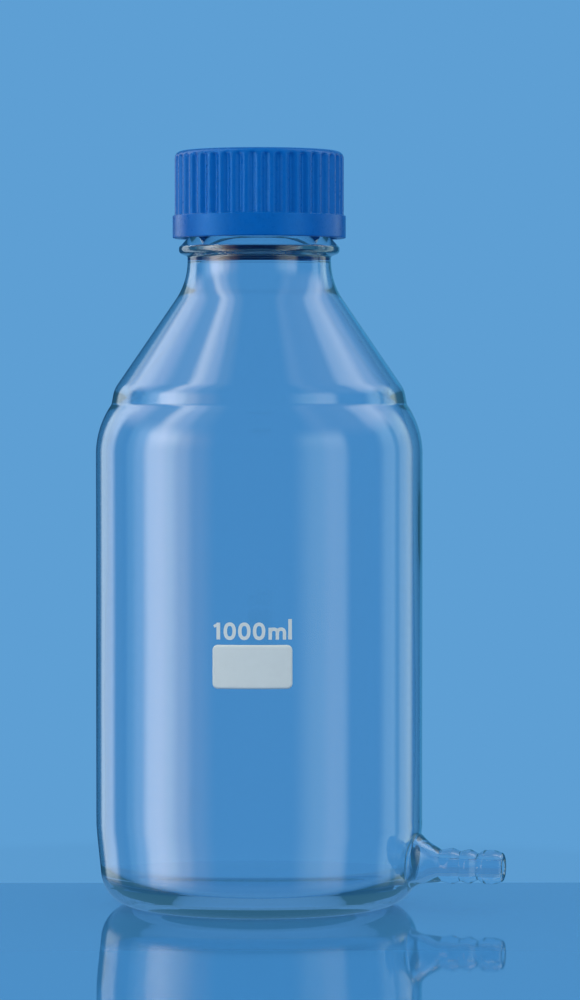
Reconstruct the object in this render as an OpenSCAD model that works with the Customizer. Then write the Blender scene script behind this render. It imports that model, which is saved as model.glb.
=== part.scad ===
// Laboratory reagent bottle, 1000 ml, with a screw cap and a glass hose outlet low on its wall.
// Millimetres, +Z up. The origin is on the bottle's axis, in the plane that it stands on.
// The outlet points along +X.

/* [Glass body] */
// Outer radius of the straight wall
body_r = 50.5; // [46:0.5:56]
// Thickness of the straight wall
wall_t = 2.6; // [2:0.1:3.4]
// Height at which the straight wall turns into the shoulder
shoulder_z = 139.2; // [120:0.2:160]
// Radius of the shoulder's arc
shoulder_arc_r = 27; // [25:0.5:32]
// Height of the shoulder's arc, up to the ring where the mould parts
shoulder_rise = 15.4; // [14:0.2:17]
// Height of the steep ring between the shoulder and the cone
ring_rise = 4.7; // [4.4:0.1:5.6]
// How far the steep ring leans in over its height
ring_lean = 0.87; // [0.6:0.01:1.1]
// Rounding of the edge between the steep ring and the cone
ring_edge_round = 9; // [5:0.5:10]
// Rounding of the hollow corner between the shoulder and the steep ring
kink_round = 2.5; // [1:0.1:3]
// Angle of the cone from the vertical
cone_angle = 34.4; // [31:0.2:38]

/* [Base] */
// Inner radius of the ring that the bottle stands on
foot_inner_r = 33; // [26:0.5:35]
// Height of the hollow in the middle of the underside
punt_h = 2; // [1:0.1:3]
// Radius of the rounding between the foot and the heel
heel_r = 10.8; // [9:0.2:12.6]
// How far the heel stands in from the straight wall at the foot
heel_inset = 2.5; // [1.8:0.1:3]
// Height over which the heel leans out to the straight wall
heel_h = 24.5; // [21:0.5:28]
// Radius that blends the heel into the straight wall
heel_blend_r = 60; // [40:5:70]
// Thickness of the glass over the foot
base_t = 4.6; // [3.6:0.1:5.2]
// Radius of the rounding inside the bottle, between floor and wall
floor_r = 9.5; // [7:0.5:11]
// Extra height of the floor in the middle
floor_dome = 0.8; // [0.4:0.1:1.5]

/* [Neck] */
// How much wider the plain neck is than the glass between the turns of the thread
neck_step = 1.2; // [1:0.1:1.8]
// Radius of the blend between the cone and the neck
neck_blend_r = 21; // [12:0.5:22]
// Height of the plain neck, from where the cone would meet it to the bead
neck_h = 7.8; // [7.6:0.1:12]
// Thickness of the neck below the thread
neck_t = 3; // [2.4:0.1:3.6]
// Thickness of the cone, measured level
cone_t = 3.2; // [2.6:0.1:3.8]
// How far the bead below the cap stands out from the neck
bead_out = 2.6; // [2.2:0.1:3]
// Height from the bead's underside to the upper edge of its rim
bead_t = 2.9; // [2.4:0.1:3.2]
// How far the bead's underside rises out to its rim
bead_under_rise = 1; // [0.6:0.1:1.2]
// Rounding of the bead's rim, below
bead_under_r = 1.4; // [0.8:0.1:1.6]
// Rounding of the bead's rim, above
bead_edge_r = 1.1; // [0.8:0.1:1.2]
// How far below the bead the inside starts to narrow towards the mouth
ledge_drop = 1.8; // [1:0.1:1.9]
// Height over which the inside narrows from the neck to the mouth's bore
ledge_h = 6; // [5:0.1:8]
// Angle of the bead's upper side from the vertical
bead_slope_angle = 45; // [40:1:50]

/* [Finish, size GL 45] */
// Radius over the crests of the glass thread
thread_r = 22.4; // [22.2:0.1:22.6]
// Depth of the glass thread
thread_depth = 1.4; // [1.2:0.1:1.6]
// Height of the threaded band
thread_h = 15; // [12:0.5:16]
// Plain height between the bead and the thread
thread_gap = 1; // [0.8:0.1:3]
// How far the lip that carries the pouring ring stands in from the root of the thread
lip_inset = 0.5; // [0.4:0.1:0.8]
// Thickness of the glass at the lip, from the mouth's bore outwards
lip_t = 5; // [4.4:0.1:6]
// Height of the lip
lip_h = 2.8; // [2.4:0.1:3.4]
// Height of the groove below the lip
lip_groove_h = 1.8; // [1.4:0.1:2.4]
// Depth of the groove below the lip
lip_groove_d = 0.5; // [0.3:0.1:0.6]
// Rounding of the lip's edges
lip_edge_r = 1.4; // [0.8:0.1:1.5]

/* [Outlet] */
// Height of the outlet's axis
outlet_z = 13.4; // [13.2:0.1:40]
// How far the middle of the hole in the wall stands above that axis
hole_rise = 1.2; // [0.8:0.1:1.4]
// Radius of the hole in the bottle's wall
wall_hole_r = 5.4; // [4.6:0.1:5.6]
// How much wider the hole's rounded rim is on the inside
hole_rim_w = 2.5; // [1.5:0.1:2.7]
// Thickness of the glass around the funnel in the outlet's root
root_t = 1.6; // [1.3:0.1:2]
// Radius of the outlet's bore
outlet_bore_r = 2.2; // [1.8:0.1:2.6]
// Length of the flared root beyond the bottle's wall
root_l = 6.9; // [6.4:0.1:9]
// Radius of the plain cylinder on the last hump, which the hose grips
hose_land_r = 5.2; // [4.6:0.05:5.6]
// Length of that cylinder
hose_land_l = 2; // [1.6:0.1:3.4]
// Number of short humps before the last one
short_humps = 2; // [1:1:4]
// Distance between short humps
hump_pitch = 5.4; // [4.6:0.1:6.2]
// Depth of the hollow before each short hump
hump_step = 0.8; // [0.5:0.05:1]
// Depth of the sharper hollow before the last hump
last_hollow_d = 1.2; // [0.8:0.05:1.4]
// How much each short hump is larger than the next
hump_taper = 0.15; // [0:0.05:0.25]
// Rounding of the short humps' crests
hump_crest_r = 2.4; // [1.6:0.1:2.8]
// Length of the last hump's rise up to the plain cylinder
last_rise_l = 2.7; // [2.2:0.1:3.2]
// Length of the rounded nose between the plain cylinder and the tip
nose_l = 3.2; // [2.9:0.1:5]
// Rounding where the plain cylinder turns into the nose
nose_round = 5; // [3:0.5:6]
// How much thinner the nose is at the tip
nose_taper = 0.9; // [0.6:0.1:1.2]
// Rounding of the tip's rim
tip_edge_r = 1; // [0.6:0.1:1.1]

/* [Pouring ring] */
// Thickness of the flange on the glass lip
ring_flange_t = 1.2; // [1:0.1:1.6]
// Thickness of the skirt around the lip
ring_skirt_t = 1; // [0.8:0.1:1.2]
// How far the drip edge stands out from the skirt
drip_edge = 0.3; // [0.2:0.05:0.4]
// How far the flange stands over the mouth's bore
ring_inset = 0.5; // [0.2:0.1:1]
// Gap between the skirt and the glass
ring_gap = 0.1; // [0.05:0.05:0.2]

/* [Seal] */
// Width of the step in the cap around the disc
seal_step_w = 1.6; // [1.3:0.1:2.2]
// Thickness of the sealing disc
seal_t = 1.7; // [1.2:0.1:3]
// Gap on each face of the disc
seal_gap = 0.15; // [0.1:0.05:0.25]
// Gap around the disc
seal_side_gap = 0.3; // [0.2:0.05:0.4]

/* [Screw cap] */
// Thickness of the cap's wall behind the grooves
cap_wall_t = 2.25; // [1.8:0.05:2.8]
// How far the plain band at the cap's lower edge stands out from the ribs
band_out = 0.65; // [0.2:0.05:0.9]
// Height of the plain band
band_h = 6.9; // [5:0.1:8]
// Number of ribs
ribs = 40; // [30:1:44]
// Depth of the grooves between the ribs
groove_d = 0.9; // [0.6:0.05:1]
// Radius of the round tool that cuts a groove
groove_r = 1.25; // [1:0.05:1.3]
// Depth below the cap's top at which the grooves start
groove_top_gap = 1; // [0.6:0.1:1.6]
// Height over which a groove runs out to its full depth
groove_run_out = 1.2; // [0.6:0.1:2]
// Gap between the cap's wall and the crests of the glass thread
thread_clearance = 0.5; // [0.3:0.05:0.7]
// Thickness of the cap's top
top_t = 1.9; // [1.5:0.1:3]
// Rounding of the cap's upper edge
top_edge_r = 2.2; // [1.5:0.1:2.6]
// Rounding of the band's edges
band_edge_r = 0.4; // [0.2:0.1:0.6]
// Gap between the cap's lower edge and the rim of the bead
cap_bead_gap = 2.7; // [2:0.1:3.4]
// Height of the tapered mouth inside the cap's lower edge
lead_in_h = 1.8; // [1:0.1:2.5]
// How much wider than the bore the tapered mouth is
lead_in_w = 1.2; // [0.6:0.1:1.5]

/* [Writing panel] */
// Width of the enamel panel
panel_w = 24; // [16:0.5:40]
// Height of the enamel panel
panel_h = 13.1; // [8:0.1:30]
// Radius of the panel's corners
panel_corner_r = 1.6; // [0.8:0.1:3]
// Thickness of the enamel
panel_t = 0.15; // [0.1:0.05:0.3]
// Height of the panel's middle
panel_z = 76.7; // [50:0.1:110]
// Bearing of the panel's middle, from -Y towards +X
panel_bearing = 12.6; // [0:0.1:60]

/* [Hidden] */
$fn = 96;
TUBE_FACETS = 72;   // facets around the outlet
ARC_STEP = 6;       // angle between points on a rounded corner
EPS = 0.01;         // overlap that keeps two cuts from sharing a face

SHARP_EDGE = 0.3;   // rounding of glass and plastic edges that look sharp
SOFT_EDGE = 0.8;    // rounding of the glass where one form turns into the next
THREAD_START_H = 1;     // height over which the threaded band rises to its full radius
THREAD_END_H = 1.6;     // height over which it falls back below the lip

// Radii of the neck's finish, which all follow the thread
thread_root_r = thread_r - thread_depth;
neck_r = thread_root_r + neck_step;
bead_r = neck_r + bead_out;
lip_r = thread_root_r - lip_inset;
mouth_r = lip_r - lip_t;

// Heights, from the foot up to the top of the cap
kink_z = shoulder_z + shoulder_rise;
kink_r = body_r - shoulder_arc_r * (1 - sqrt(1 - pow(shoulder_rise / shoulder_arc_r, 2)));
cone_base_r = kink_r - ring_lean;
cone_base_z = kink_z + ring_rise;
cone_top_z = cone_base_z + (cone_base_r - neck_r) / tan(cone_angle);
bead_z = cone_top_z + neck_h;
bead_top_z = bead_z + bead_t;
bead_slope_z = bead_top_z + (bead_r - thread_root_r) / tan(bead_slope_angle);
thread_z = bead_slope_z + thread_gap;
thread_top_z = thread_z + thread_h;
lip_z = thread_top_z + lip_groove_h;
mouth_z = lip_z + lip_h;
ring_top_z = mouth_z + ring_flange_t;
seal_z = ring_top_z + seal_gap;
ceiling_z = seal_z + seal_t + seal_gap;
cap_top_z = ceiling_z + top_t;

// Inside of the glass
inner_r = body_r - wall_t;
inner_arc_r = shoulder_arc_r - wall_t;
INNER_KINK_DROP = 2;        // the inside turns into the cone a little lower
INNER_ROUND = 7;            // rounding of the inside where the shoulder turns into the cone
LEDGE_ROUND = 2.5;          // rounding of the inside where it narrows towards the mouth
inner_kink_rise = shoulder_rise - INNER_KINK_DROP;
inner_kink_r = inner_r - inner_arc_r * (1 - sqrt(1 - pow(inner_kink_rise / inner_arc_r, 2)));
inner_kink_z = shoulder_z + inner_kink_rise;
inner_neck_r = neck_r - neck_t;
inner_cone_r = inner_kink_r - ring_lean;
// level distance between the two cones is cone_t at every height
inner_cone_z = cone_base_z + (cone_base_r - cone_t - inner_cone_r) / tan(cone_angle);
inner_neck_z = inner_cone_z + (inner_cone_r - inner_neck_r) / tan(cone_angle);
inner_blend_r = neck_blend_r * 2 / 3;
ledge_z = bead_z - ledge_drop;
floor_z = base_t;

// Cap
cap_z = bead_top_z + cap_bead_gap;
cap_inner_r = thread_r + thread_clearance;
seal_recess_r = cap_inner_r - seal_step_w;
seal_r = seal_recess_r - seal_side_gap;
ring_clearance = seal_gap * 2;      // between the pouring ring and the step around the seal
seal_step_z = ring_top_z + ring_clearance;
valley_r = cap_inner_r + cap_wall_t;
rib_crest_r = valley_r + groove_d;
band_r = rib_crest_r + band_out;

// Outlet, from the wall out to the tip
TUBE_DROP = 0.3;    // the tube before the first hump is this much thinner than the land
ROOT_START = 0.8;   // how far beyond the wall's radius the root has the hole's full width
ROOT_PAST = 1.2;    // how far the root's cone runs on inside the tube
FUNNEL_IN = 0.2;    // how much thinner than the bore the funnel's narrow end is, inside it
COLLAR_IN = 3.2;    // how far inside the wall's radius the collar starts
COLLAR_OUT = 1.6;   // how far beyond the wall's radius the collar ends
COLLAR_W = 2.9;     // how much wider than the root the collar starts
root_end_x = body_r + root_l;
first_crest_x = root_end_x + hump_pitch * 0.7;
last_hollow_x = first_crest_x + hump_pitch * (short_humps - 0.5);
land_x = last_hollow_x + last_rise_l;
nose_x = land_x + hose_land_l;
outlet_reach = nose_x + nose_l;

// ---- outlines -------------------------------------------------------------

function unit(v) = v / norm(v);
function xy(p) = [p[0], p[1]];

// Points of one corner [x, y, radius] between its neighbours.
function corner_points(before, at, after) =
    let (u = unit(xy(before) - xy(at)))
    let (v = unit(xy(after) - xy(at)))
    let (half = acos(u * v) / 2)
    let (centre = xy(at) + unit(u + v) * at[2] / sin(half))
    let (start = xy(at) + u * at[2] / tan(half) - centre)
    let (turn = 180 - 2 * half)
    let (side = u[0] * v[1] - u[1] * v[0] > 0 ? -1 : 1)
    let (steps = ceil(turn / ARC_STEP))
    [for (i = [0 : steps])
        let (a = side * turn * i / steps)
        centre + [start[0] * cos(a) - start[1] * sin(a), start[0] * sin(a) + start[1] * cos(a)]];

// An outline from a list of corners [x, y] or [x, y, radius].
function rounded(corners) =
    let (n = len(corners))
    [for (i = [0 : n - 1])
        each (corners[i][2] == undef)
            ? [corners[i]]
            : corner_points(corners[(i + n - 1) % n], corners[i], corners[(i + 1) % n])];

// Points on a circle that leaves the upright line x = r at height z and leans in over a rise.
// The corner at the end of the rise is left to the outline that goes on from there.
function shoulder_points(r, z, arc_r, rise) =
    let (last = asin(rise / arc_r))
    let (steps = ceil(last / ARC_STEP))
    [for (i = [0 : steps - 1])
        let (a = last * i / steps)
        [r - arc_r * (1 - cos(a)), z + arc_r * sin(a)]];

// Points on a shallow dome, from its middle out to radius r, where its height is z.
function dome_points(r, z, height) =
    let (sphere_r = (r * r + height * height) / (2 * height))
    let (steps = 6)
    [for (i = [0 : steps])
        let (x = r * i / steps)
        [x, z + height - sphere_r + sqrt(sphere_r * sphere_r - x * x)]];

// ---- glass body -----------------------------------------------------------

// The outside of the bottle, from the axis at the foot to the axis at the mouth.
function bottle_outside() = concat(
    dome_points(foot_inner_r, 0, punt_h),
    rounded([
        [foot_inner_r, 0],
        [body_r - heel_inset, 0, heel_r],
        [body_r, heel_h, heel_blend_r],
        [body_r, shoulder_z]]),
    rounded(concat(shoulder_points(body_r, shoulder_z, shoulder_arc_r, shoulder_rise), [
        [kink_r, kink_z, kink_round],
        [cone_base_r, cone_base_z, ring_edge_round],
        [neck_r, cone_top_z, neck_blend_r],
        [neck_r, bead_z, SOFT_EDGE],
        [bead_r, bead_z + bead_under_rise, bead_under_r],
        [bead_r, bead_top_z, bead_edge_r],
        [thread_root_r, bead_slope_z, SOFT_EDGE],
        [thread_root_r, thread_z],
        [thread_r, thread_z + THREAD_START_H, SHARP_EDGE],
        [thread_r, thread_top_z - THREAD_END_H, SHARP_EDGE],
        [lip_r - lip_groove_d, thread_top_z, SHARP_EDGE],
        [lip_r - lip_groove_d, lip_z - lip_groove_d, SHARP_EDGE],
        [lip_r, lip_z, SHARP_EDGE],
        [lip_r, mouth_z, lip_edge_r],
        [mouth_r, mouth_z]])));

// The hollow of the bottle, up past the mouth.
function bottle_hollow() = concat(
    dome_points(inner_r - floor_r - 4, floor_z, floor_dome),
    rounded([
        [inner_r - floor_r - 4, floor_z],
        [inner_r, floor_z, floor_r],
        [inner_r, shoulder_z]]),
    rounded(concat(shoulder_points(inner_r, shoulder_z, inner_arc_r, inner_kink_rise), [
        [inner_kink_r, inner_kink_z, INNER_ROUND],
        [inner_cone_r, inner_cone_z, INNER_ROUND],
        [inner_neck_r, inner_neck_z, inner_blend_r],
        [inner_neck_r, ledge_z, LEDGE_ROUND],
        [mouth_r, ledge_z + ledge_h, LEDGE_ROUND],
        [mouth_r, mouth_z - lip_edge_r],
        [mouth_r + lip_edge_r, mouth_z + EPS],
        [mouth_r + lip_edge_r, mouth_z + 1],
        [0, mouth_z + 1]])));

module bottle_blank() {
    rotate_extrude() polygon(concat(bottle_outside(), [[0, mouth_z]]));
}

module along_outlet(x) {
    translate([x, 0, outlet_z]) rotate([0, 90, 0]) children();
}

// The hole for the outlet, with a wider rim on the inside.
module wall_hole() {
    rim_x = inner_r - hole_rim_w + 0.5;
    rim_r = wall_hole_r + hole_rim_w;
    translate([0, 0, hole_rise]) {
        along_outlet(inner_r - floor_r) cylinder(r = wall_hole_r, h = body_r);
        along_outlet(rim_x) cylinder(r1 = rim_r, r2 = wall_hole_r, h = hole_rim_w);
        along_outlet(inner_r - floor_r) cylinder(r = rim_r, h = rim_x - inner_r + floor_r + EPS);
    }
}

module bottle() {
    color("lightcyan", 0.4)
    difference() {
        bottle_blank();
        rotate_extrude() polygon(bottle_hollow());
        wall_hole();
    }
}

// ---- outlet ---------------------------------------------------------------

// Radius at the crest of short hump i, counted from the wall.
function crest_r(i) = hose_land_r + hump_taper * (short_humps - i);

// How far a rounded crest's corner stands over the crest itself.
crest_over = hump_crest_r * (1 / cos(atan(2 * hump_step / hump_pitch)) - 1);

// Crests of the short humps and the hollows between them.
function hump_corners() =
    [for (i = [0 : short_humps - 1])
        let (x = first_crest_x + hump_pitch * i)
        each concat(
            i == 0 ? [] : [[x - hump_pitch / 2, crest_r(i) - hump_step, 0.8]],
            [[x, crest_r(i) + crest_over, hump_crest_r]])];

// The outside of the tube beyond its root, as [distance from the bottle's axis, radius].
function tube_outside() = rounded(concat(
    [[root_end_x - 2, 0],
     [root_end_x - 2, hose_land_r - TUBE_DROP],
     [root_end_x + 0.4, hose_land_r - TUBE_DROP, 2]],
    hump_corners(),
    [[last_hollow_x, hose_land_r - last_hollow_d, 0.4],
     [land_x - 0.9, hose_land_r, 1.6],
     [nose_x + 0.6, hose_land_r, nose_round],
     [outlet_reach, hose_land_r - nose_taper, tip_edge_r],
     [outlet_reach, 0]]));

// A round cone between two sections [x, height over the outlet's axis, radius]. It is carried
// on past its first section by a share of its length.
module leaning_cone(first, last, carried_on = 0) {
    start = first - (last - first) * carried_on;
    way = last - start;
    translate([start[0], 0, outlet_z + start[1]])
    rotate([0, 90 + atan2(-way[1], way[0]), 0])
    cylinder(r1 = start[2], r2 = last[2], h = norm([way[0], way[1]]), $fn = TUBE_FACETS);
}

// The root, flared where the tube was melted onto the wall. Its lower side runs into the heel,
// so it leans, and the collar against the wall stands higher than the tube.
module flared_root() {
    collar_rise = hole_rise * 2;
    leaning_cone(
        [body_r + ROOT_START, hole_rise, wall_hole_r + root_t],
        [root_end_x + ROOT_PAST, 0, hose_land_r - TUBE_DROP * 1.2], 0.4);
    leaning_cone(
        [body_r - COLLAR_IN, collar_rise, wall_hole_r + root_t + COLLAR_W],
        [body_r + COLLAR_OUT, collar_rise, wall_hole_r + 0.4]);
}

// The passage, from the hole in the wall through the funnel into the bore.
module passage() {
    translate([0, 0, hole_rise])
    along_outlet(inner_r - floor_r)
    cylinder(r = wall_hole_r, h = wall_t + floor_r, $fn = TUBE_FACETS);
    leaning_cone(
        [body_r, hole_rise, wall_hole_r],
        [root_end_x, 0, outlet_bore_r - FUNNEL_IN], 0.1);
    along_outlet(body_r) cylinder(r = outlet_bore_r, h = outlet_reach, $fn = TUBE_FACETS);
}

module outlet_nozzle() {
    color("azure", 0.5)
    difference() {
        union() {
            along_outlet(0)
            rotate_extrude($fn = TUBE_FACETS)
            polygon([for (p = tube_outside()) [p[1], p[0]]]);
            flared_root();
        }
        bottle_blank();
        passage();
    }
}

// ---- pouring ring, seal and cap -------------------------------------------

module pouring_ring() {
    skirt_inner_r = lip_r + ring_gap;
    skirt_outer_r = skirt_inner_r + ring_skirt_t;
    ring_edge_r = skirt_outer_r + drip_edge;
    snap_r = lip_r - lip_groove_d + ring_gap;
    snap_z = lip_z - lip_groove_d - ring_gap;
    skirt_z = thread_top_z + SHARP_EDGE;
    color("royalblue")
    rotate_extrude() polygon(rounded([
        [mouth_r - ring_inset, mouth_z],
        [skirt_inner_r, mouth_z],
        [skirt_inner_r, lip_z],
        [snap_r, snap_z],
        [snap_r, snap_z - SHARP_EDGE],
        [skirt_inner_r, skirt_z],
        [skirt_outer_r, skirt_z, SHARP_EDGE],
        [skirt_outer_r, ring_top_z - SHARP_EDGE - drip_edge],
        [ring_edge_r, ring_top_z - SHARP_EDGE],
        [ring_edge_r, ring_top_z],
        [skirt_inner_r, ring_top_z],
        [mouth_r - ring_inset, ring_top_z - SHARP_EDGE, SHARP_EDGE]]));
}

module cap_seal() {
    color("white")
    translate([0, 0, seal_z]) cylinder(r = seal_r, h = seal_t);
}

// The cap without its ribs, as a revolved outline.
function cap_section() = rounded([
    [0, cap_top_z],
    [0, ceiling_z],
    [seal_recess_r, ceiling_z],
    [seal_recess_r, seal_step_z],
    [cap_inner_r, seal_step_z, SHARP_EDGE],
    [cap_inner_r, cap_z + lead_in_h],
    [cap_inner_r + lead_in_w, cap_z],
    [band_r, cap_z, band_edge_r],
    [band_r, cap_z + band_h, band_edge_r],
    [rib_crest_r, cap_z + band_h],
    [rib_crest_r, cap_top_z, top_edge_r]]);

// Grooves from the band up to the run-outs below the cap's top.
module cap_grooves() {
    reach = groove_r * 2;
    top_z = cap_top_z - groove_top_gap;
    intersection() {
        translate([0, 0, cap_z + band_h])
        linear_extrude(cap_top_z - cap_z)
        for (i = [0 : ribs - 1])
            rotate((i + 0.5) * 360 / ribs)
            translate([valley_r + groove_r, 0]) circle(r = groove_r);
        rotate_extrude() polygon([
            [valley_r - EPS, cap_z],
            [valley_r + reach, cap_z],
            [valley_r + reach, top_z + groove_run_out * (reach / groove_d - 1)],
            [valley_r - EPS, top_z - groove_run_out]]);
    }
}

module screw_cap() {
    color("royalblue")
    difference() {
        rotate_extrude() polygon(cap_section());
        cap_grooves();
    }
}

// ---- writing panel --------------------------------------------------------

module rounded_rectangle(w, h, r) {
    square([w - 2 * r, h], center = true);
    square([w, h - 2 * r], center = true);
    for (x = [-1, 1], y = [-1, 1])
        translate([x * (w / 2 - r), y * (h / 2 - r)]) circle(r = r);
}

module writing_panel() {
    color("gainsboro")
    intersection() {
        difference() {
            translate([0, 0, panel_z - panel_h]) cylinder(r = body_r + panel_t, h = 2 * panel_h);
            translate([0, 0, panel_z - 2 * panel_h]) cylinder(r = body_r, h = 4 * panel_h);
        }
        rotate([0, 0, panel_bearing])
        translate([0, 0, panel_z])
        rotate([90, 0, 0])
        linear_extrude(body_r * 2) rounded_rectangle(panel_w, panel_h, panel_corner_r);
    }
}

bottle();
outlet_nozzle();
pouring_ring();
cap_seal();
screw_cap();
writing_panel();
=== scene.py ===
import math

import bmesh
import bpy
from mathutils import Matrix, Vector, noise

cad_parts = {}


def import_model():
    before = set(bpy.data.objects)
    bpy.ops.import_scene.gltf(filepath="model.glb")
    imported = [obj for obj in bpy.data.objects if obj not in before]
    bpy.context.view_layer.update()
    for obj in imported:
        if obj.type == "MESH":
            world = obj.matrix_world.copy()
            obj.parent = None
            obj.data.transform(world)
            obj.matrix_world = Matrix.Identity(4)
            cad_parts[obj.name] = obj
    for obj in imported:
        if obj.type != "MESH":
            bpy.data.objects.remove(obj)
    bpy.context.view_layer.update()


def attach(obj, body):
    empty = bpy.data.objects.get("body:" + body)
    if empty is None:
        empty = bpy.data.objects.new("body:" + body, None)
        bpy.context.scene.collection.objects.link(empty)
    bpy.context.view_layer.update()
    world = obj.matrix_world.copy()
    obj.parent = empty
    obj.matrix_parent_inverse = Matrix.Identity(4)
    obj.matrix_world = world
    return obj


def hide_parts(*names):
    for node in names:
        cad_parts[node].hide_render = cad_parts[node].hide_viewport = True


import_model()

MM = 0.001
TAU = 2 * math.pi
SAME_POINT = 1e-4       # points nearer than this are one
ON_AXIS = 1e-6          # a smaller radius is on the axis

# ---- outlines ------------------------------------------------------------------------------


def unit(x, y):
    length = math.hypot(x, y)
    return x / length, y / length


def corner_arc(before, at, after, step):
    """Points of a rounded corner at = (x, y, radius) between its neighbours."""
    ux, uy = unit(before[0] - at[0], before[1] - at[1])
    vx, vy = unit(after[0] - at[0], after[1] - at[1])
    half = math.acos(max(-1, min(1, ux * vx + uy * vy))) / 2
    mx, my = unit(ux + vx, uy + vy)
    cx, cy = at[0] + mx * at[2] / math.sin(half), at[1] + my * at[2] / math.sin(half)
    sx, sy = at[0] + ux * at[2] / math.tan(half) - cx, at[1] + uy * at[2] / math.tan(half) - cy
    turn = math.pi - 2 * half
    side = -1 if ux * vy - uy * vx > 0 else 1
    steps = max(2, math.ceil(math.degrees(turn) / step))
    points = []
    for i in range(steps + 1):
        a = side * turn * i / steps
        points.append((cx + sx * math.cos(a) - sy * math.sin(a), cy + sx * math.sin(a) + sy * math.cos(a)))
    return points


def rounded(corners, step=4.0):
    """An outline from corners (x, y) or (x, y, radius)."""
    points = []
    for i, corner in enumerate(corners):
        if len(corner) == 2:
            points.append(corner)
        else:
            points += corner_arc(corners[i - 1], corner, corners[(i + 1) % len(corners)], step)
    return points


def lengths(points):
    """How far along the outline each point lies."""
    total = [0.0]
    for p, q in zip(points, points[1:]):
        total.append(total[-1] + math.dist(p, q))
    return total


def along(points, total, s):
    """The point of an outline at length s."""
    if s <= 0:
        return points[0]
    for i in range(1, len(total)):
        if s <= total[i]:
            t = (s - total[i - 1]) / max(total[i] - total[i - 1], 1e-9)
            return tuple(a + (b - a) * t for a, b in zip(points[i - 1], points[i]))
    return points[-1]


def fill_in(points, longest):
    """The outline with points added where two lie further apart than longest."""
    out = [points[0]]
    for p, q in zip(points, points[1:]):
        n = max(1, math.ceil(math.dist(p, q) / longest))
        out += [tuple(a + (b - a) * k / n for a, b in zip(p, q)) for k in range(1, n + 1)]
    return out


def without_doubles(points):
    """The outline without points that lie on the one before."""
    out = [points[0]]
    for p in points[1:]:
        if math.dist(p, out[-1]) > SAME_POINT:
            out.append(p)
    return out


def smooth(t):
    t = max(0.0, min(1.0, t))
    return t * t * (3 - 2 * t)


# ---- meshes --------------------------------------------------------------------------------


def new_object(name, points, faces, body, slot, material, *replaced):
    """A piece from points in millimetres."""
    mesh = bpy.data.meshes.new(name)
    mesh.from_pydata([tuple(c * MM for c in p) for p in points], [], faces)
    mesh.validate()
    made = bpy.data.objects.new(name, mesh)
    bpy.context.scene.collection.objects.link(made)
    bm = bmesh.new()
    bm.from_mesh(mesh)
    bmesh.ops.recalc_face_normals(bm, faces=bm.faces)
    bm.to_mesh(mesh)
    bm.free()
    for face in mesh.polygons:
        face.use_smooth = True
    mesh.materials.append(material)
    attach(made, body)
    if replaced:
        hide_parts(*replaced)
    return made


class Grid:
    """Rings of points round the Z axis, closed at the axis where a ring has no radius."""

    def __init__(self, segments):
        self.n = segments
        self.points = []
        self.faces = []
        self.rings = []

    def ring(self, place, on_axis=False):
        """place(angle) gives a ring's point at that angle."""
        if on_axis:
            self.rings.append([len(self.points)] * self.n)
            self.points.append(place(0.0))
            return
        start = len(self.points)
        self.points += [place(TAU * j / self.n) for j in range(self.n)]
        self.rings.append(list(range(start, start + self.n)))

    def face(self, *corners):
        kept = [c for i, c in enumerate(corners) if c != corners[i - 1]]
        if len(set(kept)) >= 3:
            self.faces.append(kept)

    def join(self, first, last, skip=None):
        """Faces between each ring and the next. skip(ring, column) leaves a hole."""
        for i in range(first, last):
            a, b = self.rings[i], self.rings[i + 1]
            for j in range(self.n):
                if skip and skip(i, j):
                    continue
                k = (j + 1) % self.n
                self.face(a[j], a[k], b[k], b[j])


def revolve(outline, segments, radius=None):
    """A closed solid from an outline that starts and ends on the axis, or that closes on itself.
    radius(r, z, angle) may change a point's radius."""
    grid = Grid(segments)
    for r, z in outline:
        def place(a, r=r, z=z):
            q = radius(r, z, a) if radius else r
            return q * math.cos(a), q * math.sin(a), z
        grid.ring(place, r < ON_AXIS)
    grid.join(0, len(grid.rings) - 1)
    if outline[0][0] > ON_AXIS:
        grid.rings.append(grid.rings[0])
        grid.join(len(grid.rings) - 2, len(grid.rings) - 1)
    return grid


# ---- sizes of the bottle, as in the solids ---------------------------------------------------

BODY_R, WALL_T = 50.5, 2.6
INNER_R = BODY_R - WALL_T
SHOULDER_Z, SHOULDER_R, SHOULDER_RISE, RING_RISE, RING_LEAN = 139.2, 27.0, 15.4, 4.7, 0.87
CONE_TAN = math.tan(math.radians(34.4))
FOOT_R, PUNT_H, HEEL_R, HEEL_INSET, HEEL_H, HEEL_BLEND_R = 33.0, 2.0, 10.8, 2.5, 24.5, 60.0
BASE_T, FLOOR_R, FLOOR_DOME = 4.6, 9.5, 0.8
NECK_R, NECK_BLEND_R, NECK_H, NECK_T, CONE_T = 22.2, 21.0, 7.8, 3.0, 3.2
BEAD_R, BEAD_T, BEAD_UNDER_RISE, BEAD_UNDER_R, BEAD_EDGE_R = 24.8, 2.9, 1.0, 1.4, 1.1
KINK_ROUND, RING_EDGE_ROUND, INNER_ROUND = 2.5, 9.0, 7.0
THREAD_R, ROOT_R, THREAD_H, THREAD_GAP, PITCH = 22.4, 21.0, 15.0, 1.0, 4.0
MOUTH_R, LIP_R, LIP_H, LIP_GROOVE_H, LIP_GROOVE_D, LIP_EDGE_R = 15.5, 20.5, 2.8, 1.8, 0.5, 1.4

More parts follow.
